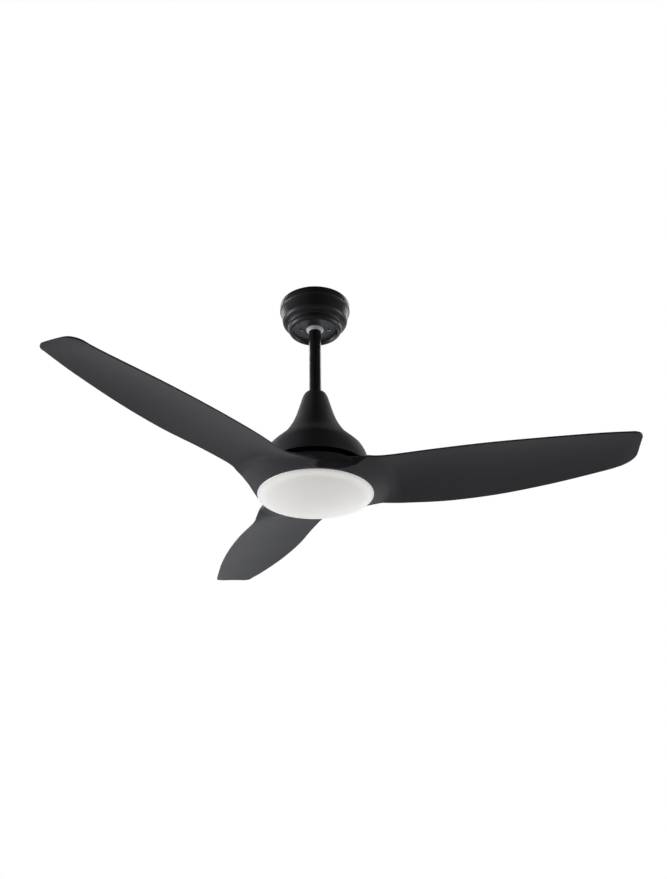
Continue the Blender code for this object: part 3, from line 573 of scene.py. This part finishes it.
# Edge A, the higher one, and edge B, the lower one with the belly: span, offset, height.
EDGE_A = [
    (0.1300, 0.0829, -0.4440), (0.1500, 0.0742, -0.4432), (0.1800, 0.0646, -0.4396),
    (0.2600, 0.0570, -0.4356), (0.3600, 0.0493, -0.4332), (0.4700, 0.0320, -0.4291),
    (0.5800, 0.0081, -0.4233), (0.6450, -0.0104, -0.4198),
]
EDGE_B = [
    (0.1200, -0.0941, -0.4650), (0.1500, -0.0946, -0.4690), (0.1800, -0.0954, -0.4717),
    (0.2600, -0.1103, -0.4709), (0.3600, -0.1186, -0.4663), (0.4700, -0.1179, -0.4575),
    (0.5800, -0.1098, -0.4465), (0.6150, -0.1063, -0.4415),
]
TIP_CORNER_A = (0.6628, -0.0159)
TIP_CORNER_B = (0.6447, -0.1023)
TIP_ROUND_A = 0.017
TIP_ROUND_B = 0.033
CAMBER = 0.009
TIP_CAMBER = 0.0036
EDGE_THICKNESS = 0.0034
MIDDLE_THICKNESS = 0.0070
BLADE_COLUMNS = 40
RING_COLUMNS = 20
SPAN_ROWS = 84
TIP_ROWS = 8


def along(curve, share):
    place = share * (len(curve) - 1)
    i = min(int(place), len(curve) - 2)
    return curve[i].lerp(curve[i + 1], place - i)


def even(curve, count):
    """count + 1 points spaced evenly along a polyline."""
    lengths = [0.0]
    for a, b in zip(curve, curve[1:]):
        lengths.append(lengths[-1] + (b - a).length)
    points = []
    for k in range(count + 1):
        want = lengths[-1] * k / count
        i = max(j for j in range(len(lengths) - 1) if lengths[j] <= want + 1e-12)
        share = (want - lengths[i]) / (lengths[i + 1] - lengths[i])
        points.append(curve[i].lerp(curve[i + 1], share))
    return points


def rounded_corner(before, corner, after, radius, count):
    before, corner, after = Vector(before), Vector(corner), Vector(after)
    back, ahead = (before - corner).normalized(), (after - corner).normalized()
    half = back.angle(ahead) / 2
    centre = corner + (back + ahead).normalized() * (radius / math.sin(half))
    start = corner + back * (radius / math.tan(half)) - centre
    end = corner + ahead * (radius / math.tan(half)) - centre
    turns = [start.lerp(end, k / count).normalized() for k in range(count + 1)]
    return [centre + turn * radius for turn in turns]


def tip_curve(end_a, end_b, columns):
    """The tip's edge from edge A to edge B, with its two rounded corners."""
    flat_a, flat_b = Vector(end_a[:2]), Vector(end_b[:2])
    line = [flat_a]
    line += rounded_corner(flat_a, TIP_CORNER_A, TIP_CORNER_B, TIP_ROUND_A, 12)
    line += rounded_corner(TIP_CORNER_A, TIP_CORNER_B, flat_b, TIP_ROUND_B, 16)
    line += [flat_b]
    points = []
    for k, point in enumerate(even(line, columns)):
        s = k / columns
        height = end_a[2] + (end_b[2] - end_a[2]) * s + TIP_CAMBER * 4 * s * (1 - s)
        points.append(Vector((point.x, point.y, height)))
    return points


def blade_rows():
    """Rows of the middle surface from the ring to the tip, each from edge A to edge B."""
    columns = BLADE_COLUMNS
    edge_a, edge_b = smooth_curve(EDGE_A, 24), smooth_curve(EDGE_B, 24)
    rows = []
    for k in range(SPAN_ROWS):
        share = (k / SPAN_ROWS) ** 1.15
        a, b = along(edge_a, share), along(edge_b, share)
        bulge = 0.026 * max(0.0, 1 - share / 0.35) ** 2
        camber = CAMBER * min(1, share * 4)
        camber += (TIP_CAMBER - camber) * max(0, share / 0.3 - 7 / 3)
        row = []
        for j in range(columns + 1):
            s = j / columns
            hump = 4 * s * (1 - s)
            row.append(a.lerp(b, s) + Vector((bulge * hump, 0, camber * hump)))
        rows.append(row)
    tip = tip_curve(edge_a[-1], edge_b[-1], columns)
    last = rows[-1]
    for k in range(1, TIP_ROWS):
        share = math.sin(math.pi / 2 * k / TIP_ROWS)
        rows.append([p.lerp(q, share) for p, q in zip(last, tip)])
    rows.append(tip)
    return rows


def thickness_at(s):
    return EDGE_THICKNESS + (MIDDLE_THICKNESS - EDGE_THICKNESS) * (4 * s * (1 - s)) ** 0.8


def finer(corners):
    """A section's rows at the fine spacing: the flat plate, then a smooth run outward."""
    points = [Vector(p) for p in corners]
    return [points[0], points[0].lerp(points[1], 0.5)] + smooth_curve(points[1:], 4)


def ring_edge(side):
    """The hub's outer edge beside the blade, from the foot of edge B to seam B: the lip
    round the light, which flares out again to meet edge A of the next blade."""
    foot, seam = Vector(EDGE_B[0]), Vector(SEAM_END)
    start = math.atan2(foot.y, foot.x)
    end = math.radians(SEAM_B_DEG + SEAM_TRIM_DEG)
    lip_z = LIP_LOW_Z if side < 0 else LIP_HIGH_Z
    points = []
    for k in range(RING_COLUMNS + 1):
        share = k / RING_COLUMNS
        foot_part = max(0.0, 1 - share * 4) ** 2
        seam_part = max(0.0, (share - 0.55) / 0.45) ** 2
        radius = LIP_R + (foot.xy.length - LIP_R) * foot_part + (seam.x - LIP_R) * seam_part
        edge = side * EDGE_THICKNESS
        height = lip_z + (foot.z + edge - lip_z) * foot_part + (seam.y + edge - lip_z) * seam_part
        points.append(Vector((*polar(radius, start + (end - start) * share), height)))
    return points


def hub_angles():
    """The turn of each column of the hub's rows, from seam A to seam B."""
    foot = Vector(EDGE_B[0])
    first = math.radians(SEAM_A_DEG - SEAM_TRIM_DEG)
    turn = math.atan2(foot.y, foot.x)
    last = math.radians(SEAM_B_DEG + SEAM_TRIM_DEG)
    angles = [first + (turn - first) * k / BLADE_COLUMNS for k in range(BLADE_COLUMNS)]
    return angles + [turn + (last - turn) * k / RING_COLUMNS for k in range(RING_COLUMNS + 1)]


def hub_row(radius, height, wave=0.0):
    """One row of the hub's section: an arc from seam A to seam B."""
    row = []
    for angle in hub_angles():
        lift = wave * math.cos(BLADES * (angle - math.radians(WAVE_TURN_DEG)))
        row.append(Vector((*polar(radius, angle), height + lift)))
    return row


def root_rows(side, outer):
    """The hub's rows on one side, from the plate to just short of the outer edge."""
    corner = hub_row(SEAM_END[0], SEAM_END[1] + side * EDGE_THICKNESS)[0]
    target = [corner] + outer[1:]
    if side < 0:
        rows = [hub_row(radius, height) for radius, height in finer(HUB_UNDER)]
    else:
        rows = [hub_row(radius, height) for radius, height in finer(HUB_UPPER)[:-1]]
        top = hub_row(*HUB_UPPER[-1], WAVE)
        rows.append(top)
        for share in WALL_SHARES:
            rows.append([p.lerp(q, share) for p, q in zip(top, target)])
    last = rows[-1]
    for share in BETWEEN_SHARES:
        row = [p.lerp(q, share) for p, q in zip(last, target)]
        rows.append(row)
    rows[-1][0] = corner
    return rows


def soften(rows):
    """Relaxes a patch of the grid, so that the hub runs into the blade without a crease."""
    for _ in range(ROOT_PASSES):
        moves = []
        for before, row, after in zip(rows, rows[1:], rows[2:]):
            for j in range(1, min(len(before), len(row), len(after)) - 1):
                around = before[j].co + after[j].co + row[j - 1].co + row[j + 1].co
                moves.append((row[j], row[j].co.lerp(around / 4, 0.8)))
        for vert, place in moves:
            vert.co = place


def blade_mesh():
    """A third of the hub and its blade as one closed shell, with the blade along +X."""
    shape = bmesh.new()
    layers = []
    rows = blade_rows()
    for side in (-0.5, 0.5):
        outer = [p + Vector((0, 0, side * EDGE_THICKNESS)) for p in rows[0]]
        outer += ring_edge(side)[1:]
        grid = root_rows(side, outer) + [outer]
        wide = len(grid)
        for k, row in enumerate(rows[1:], start=1):
            blend_out = max(0.0, (k - (len(rows) - 1 - TIP_ROWS)) / TIP_ROWS)
            lifted = []
            for j, point in enumerate(row):
                s = j / BLADE_COLUMNS
                thick = thickness_at(s) * (1 - blend_out) + EDGE_THICKNESS * blend_out
                lifted.append(point + Vector((0, 0, side * thick)))
            grid.append(lifted)
        layers.append([[shape.verts.new(p) for p in row] for row in grid])
    for layer in layers:
        soften([row[1:-1] for row in layer[wide - 6 : wide + 14]])
    for layer in layers:
        for row, after in zip(layer, layer[1:]):
            for j in range(min(len(row), len(after)) - 1):
                shape.faces.new((row[j], row[j + 1], after[j + 1], after[j]))
    low, high = layers

    def edge_loop(layer):
        loop = [row[0] for row in layer]
        loop += layer[-1][1:]
        loop += [row[-1] for row in layer[-2 : wide - 1 : -1]]
        loop += layer[wide - 1][BLADE_COLUMNS:]
        loop += [row[-1] for row in layer[wide - 2 :: -1]]
        loop += layer[0][-2:0:-1]
        return loop

    rim = list(zip(edge_loop(low), edge_loop(high)))
    for (a, b), (c, d) in zip(rim, rim[1:] + rim[:1]):
        shape.faces.new((a, b, d, c))
    return shape


def blades():
    """Three copies of one blade, each kept within the box of its CAD node."""
    master = to_object("blade_master", blade_mesh(), "blade_plastic", sharp_deg=50)
    bevel(master, 0.0011, 3, 50)
    apply_modifiers(master)
    for blade in range(BLADES):
        obj = bpy.data.objects.new(f"blade_{blade + 1}_fine", master.data.copy())
        bpy.context.scene.collection.objects.link(obj)
        angle = math.radians(FIRST_BLADE_DEG) + blade * SPIN_STEP
        obj.data.transform(Matrix.Rotation(angle, 4, "Z") @ Matrix.Diagonal((1, -1, 1, 1)))
        obj.data.flip_normals()
        low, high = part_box(f"blade_{blade + 1}")
        for vert in obj.data.vertices:
            vert.co = Vector(max(a, min(b, c)) for a, b, c in zip(low, high, vert.co))
        stand_for(obj, "rotor", "blade_plastic", f"blade_{blade + 1}")
    bpy.data.objects.remove(master)


# ---------------------------------------------------------------- light

def diffuser():
    """The opal dome and its neck ring, in one piece with the three lugs."""
    sphere = (DOME_R ** 2 + DOME_SAG ** 2) / (2 * DOME_SAG)
    low = DIFFUSER_RIM_Z - 0.0012
    edge_deg = -math.degrees(math.acos(DOME_R / sphere))
    middle = low + math.sqrt(sphere ** 2 - DOME_R ** 2)
    bowl = arc((0, middle), (sphere, sphere), edge_deg, -90, 48)
    bowl[-1] = (0, bowl[-1][1])
    outline = [(0.1012, -0.4635), (0.1033, -0.4635), (0.1035, -0.4640), (0.1035, -0.4733)]
    outline += [(0.1040, -0.4737), (0.1188, -0.4737)]
    outline += arc((0.1188, -0.4749), (0.0012, 0.0012), 90, -60, 8)
    inner = [(r * 0.975, z + DOME_WALL) for r, z in bowl[::-1]]
    inner[-1] = (0.1010, -0.4758)
    shell = turned("diffuser_dome", outline + bowl + inner, "opal_diffuser", 160)
    half = math.radians(LUG_HALF_DEG)
    for number in range(3):
        lug = bmesh.new()
        base = math.radians(FIRST_LUG_DEG + number * 120)
        turns = [base + half * k / LUG_STEPS for k in range(-LUG_STEPS, LUG_STEPS + 1)]
        loop = [polar(LUG_R[1], turn) for turn in turns]
        loop += [polar(LUG_R[0], turn) for turn in turns[::-1]]
        face = lug.faces.new([lug.verts.new((x, y, LUG_LOW_Z)) for x, y in loop])
        grown = bmesh.ops.extrude_face_region(lug, geom=[face])["geom"]
        moved = [item for item in grown if isinstance(item, bmesh.types.BMVert)]
        bmesh.ops.translate(lug, vec=(0, 0, LUG_HEIGHT), verts=moved)
        block = to_object(f"lug_{number}", lug, "opal_diffuser")
        union = shell.modifiers.new("lug", "BOOLEAN")
        union.object = block
        union.operation = "UNION"
        apply_modifiers(shell)
        bpy.data.objects.remove(block)
    shell.data.set_sharp_from_angle(angle=math.radians(40))
    stand_for(shell, "light_cover", "opal_diffuser", "diffuser", "diffuser_neck")


def light_pan():
    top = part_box("light_pan")[1].z
    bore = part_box("motor_shaft")[1].x + GAP
    wall = 0.0012
    low = -0.4688
    outer = [(bore, top), (0.1000, top)] + arc((0.1000, top - 0.0060), (0.0068, 0.0060), 90, 20, 8)
    outer += [(0.1105, low + 0.0022)] + arc((0.1125, low + 0.0015), (0.0018, 0.0015), 190, 270, 4)
    outer += [(0.1145, low), (0.1150, low - 0.0004), (0.1150, low - wall)]
    inner = [(0.1112, low - wall), (0.1098, low + 0.0010), (0.1056, top - 0.0060)]
    inner += arc((0.1000, top - 0.0060), (0.0056, 0.0048), 20, 90, 6) + [(bore, top - wall)]
    pan = turned("light_pan_fine", outer + inner, "black_metal")
    stand_for(pan, "hanging", "black_metal", "light_pan")


def finish_cad_nodes():
    """The CAD pieces that stay in view or inside keep their shape and get a worked material."""
    by_slot = {row["node"]: row["material_slot"] for row in frame["record"]["subparts"]}
    for name, obj in NODES.items():
        if obj.hide_render:
            continue
        obj.data.materials.clear()
        obj.data.materials.append(MATERIALS[by_slot[name]])


MATERIALS = make_materials()
make_camera()
make_stage()
canopy()
canopy_screws()
hanger_ball()
downrod()
coupling_cover()
motor_housing()
blades()
diffuser()
light_pan()
finish_cad_nodes()
